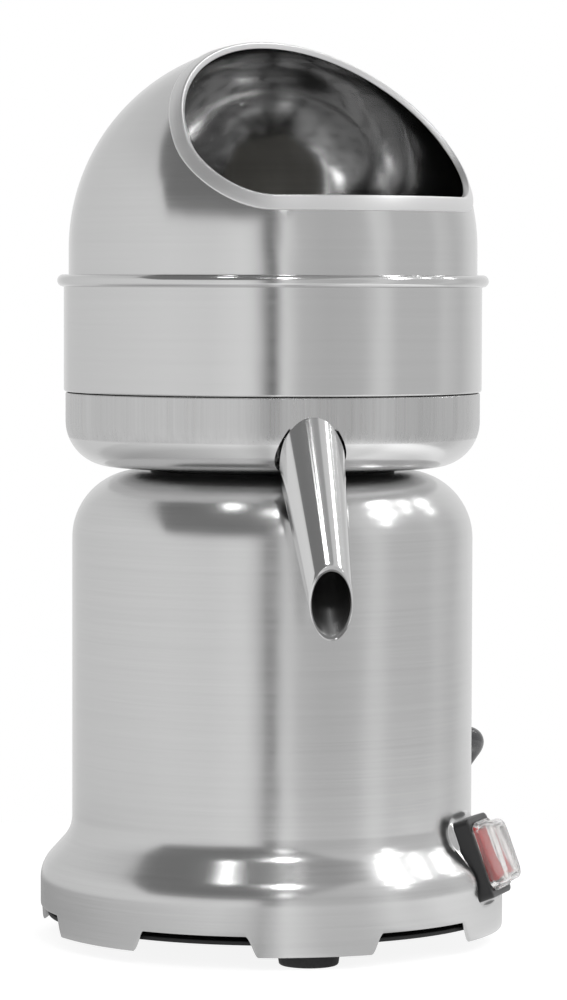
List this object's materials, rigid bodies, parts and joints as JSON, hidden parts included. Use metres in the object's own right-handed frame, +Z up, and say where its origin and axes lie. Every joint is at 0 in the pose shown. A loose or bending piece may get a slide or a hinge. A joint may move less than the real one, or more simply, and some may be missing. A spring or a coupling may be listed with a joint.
{
  "type": "citrus juicer",
  "caption": "Electric citrus juicer with a round steel motor base, juice bowl with a sloping spout, strainer, reamer, splash ring and a domed hood with an opening for the hand.",
  "frame": {"origin": "centre of the juicer's footprint box, on the surface it stands on; the juicer's own vertical axis stands at x -0.7 mm, y 15.4 mm", "axes": "+Z up, -Y towards the front, where the spout points, +X to the right"},
  "size_m": [0.2249, 0.3991, 0.4244],
  "materials": {
    "brushed_steel": "satin, brushed",
    "polished_steel": "polished",
    "screw_steel": "bright",
    "black_rubber": "matt",
    "cord_jacket": "satin",
    "black_plastic": "satin",
    "white_plastic": "semi-gloss",
    "red_plastic": "gloss, translucent",
    "clear_cover": "clear, flexible",
    "laminations": "stacked sheet, oiled",
    "copper": "enamelled wire",
    "alloy": "as cast",
    "plug_pins": "plated"
  },
  "bodies": {
    "base": {"base_housing": "brushed_steel", "bottom_cover": "black_plastic", "foot_1": "black_rubber", "foot_2": "black_rubber", "foot_3": "black_rubber", "foot_screw_1": "screw_steel", "foot_screw_2": "screw_steel", "foot_screw_3": "screw_steel", "cover_screw_1": "screw_steel", "cover_screw_2": "screw_steel", "motor_stator": "laminations", "upper_winding": "copper", "lower_winding": "copper", "motor_upper_bracket": "alloy", "motor_lower_bracket": "alloy", "upper_bearing": "polished_steel", "lower_bearing": "polished_steel", "motor_bolt_1": "screw_steel", "motor_bolt_2": "screw_steel", "motor_bolt_3": "screw_steel", "motor_bolt_4": "screw_steel", "motor_standoff_1": "alloy", "motor_standoff_2": "alloy", "motor_standoff_3": "alloy", "motor_standoff_4": "alloy", "run_capacitor": "white_plastic", "terminal_block": "white_plastic", "shaft_seal": "black_rubber", "bowl_seat_ring": "black_rubber", "switch_frame": "black_plastic", "switch_body": "black_plastic", "switch_cover": "clear_cover", "cord_strain_relief": "cord_jacket", "power_cord": "cord_jacket", "cord_coil": "cord_jacket", "cord_tail": "cord_jacket", "coil_tie": "black_plastic", "plug_body": "cord_jacket", "plug_blade_1": "plug_pins", "plug_blade_2": "plug_pins", "plug_earth_pin": "plug_pins"},
    "rotor": {"drive_shaft": "polished_steel", "drive_pin": "polished_steel", "motor_rotor": "laminations", "cooling_fan": "black_plastic"},
    "bowl": {"juice_bowl": "brushed_steel", "spout": "polished_steel"},
    "strainer": {"strainer": "brushed_steel"},
    "hub": {"reamer_hub": "white_plastic"},
    "reamer": {"reamer_cone": "white_plastic"},
    "ring": {"splash_ring": "brushed_steel"},
    "hood": {"hood": "brushed_steel", "hood_opening_trim": "polished_steel"},
    "rocker": {"switch_rocker": "red_plastic"}
  },
  "joints": [
    {"name": "motor_spin", "type": "hinge", "parent": "base", "child": "rotor", "pos_m": [-0.0007, 0.0154, 0.2], "axis": [0, 0, 1], "continuous": true},
    {"name": "bowl_lift", "type": "slide", "parent": "base", "child": "bowl", "axis": [0, 0, 1], "range_m": [0, 0.08]},
    {"name": "strainer_lift", "type": "slide", "parent": "bowl", "child": "strainer", "axis": [0, 0, 1], "range_m": [0, 0.04]},
    {"name": "reamer_spin", "type": "hinge", "parent": "strainer", "child": "hub", "pos_m": [-0.0007, 0.0154, 0.27], "axis": [0, 0, 1], "continuous": true},
    {"name": "reamer_lift", "type": "slide", "parent": "hub", "child": "reamer", "axis": [0, 0, 1], "range_m": [0, 0.035]},
    {"name": "ring_turn", "type": "hinge", "parent": "bowl", "child": "ring", "pos_m": [-0.0007, 0.0154, 0.28], "axis": [0, 0, 1], "continuous": true},
    {"name": "hood_lift", "type": "slide", "parent": "ring", "child": "hood", "axis": [0, 0, 1], "range_m": [0, 0.1]},
    {"name": "rocker_tilt", "type": "hinge", "parent": "base", "child": "rocker", "pos_m": [0.08909, -0.03644, 0.04168], "axis": [0.5, 0.866, 0], "range_deg": [0, 14]}
  ],
  "couplings": [
    {"joint": "reamer_spin", "follows": "motor_spin", "ratio": 1}
  ]
}
